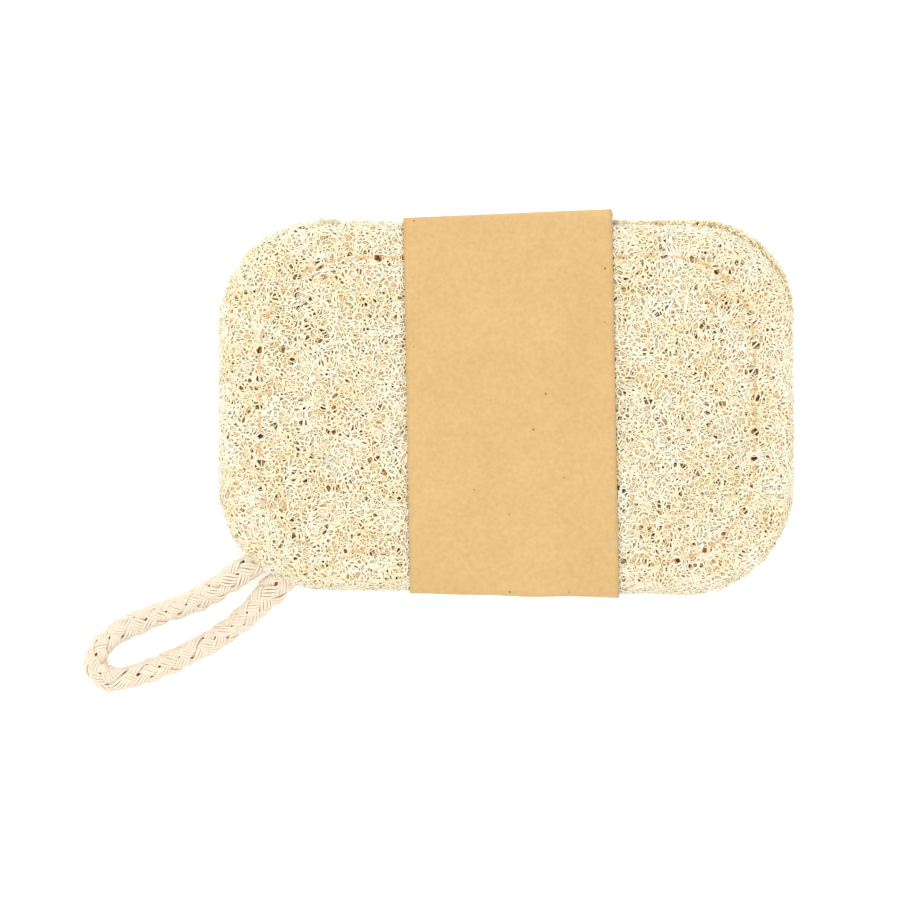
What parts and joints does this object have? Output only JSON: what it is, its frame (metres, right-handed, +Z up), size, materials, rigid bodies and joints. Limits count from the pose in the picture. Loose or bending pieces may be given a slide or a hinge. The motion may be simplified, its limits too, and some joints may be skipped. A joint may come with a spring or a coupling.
{
  "type": "natural loofah sponge",
  "caption": "Flat rounded pad of natural loofah net, sewn round the edge, with a braided cotton hanging loop at one corner and a plain brown card sleeve round the middle.",
  "frame": {"origin": "under the middle of the pad, on the surface that it lies on", "axes": "+X along the pad's length, away from the hanging loop; +Y across it; +Z up out of the front face"},
  "size_m": [0.1486, 0.1012, 0.0113],
  "materials": {
    "loofah_front": "matte",
    "loofah_back": "matte",
    "seam_thread": "matte",
    "cotton_cord": "matte",
    "kraft_card": "matte"
  },
  "bodies": {
    "root": {"loofah_front": "loofah_front", "loofah_back": "loofah_back", "needle_thread": "seam_thread", "bobbin_thread": "seam_thread", "cord_loop": "cotton_cord", "card_sleeve": "kraft_card"}
  },
  "joints": []
}
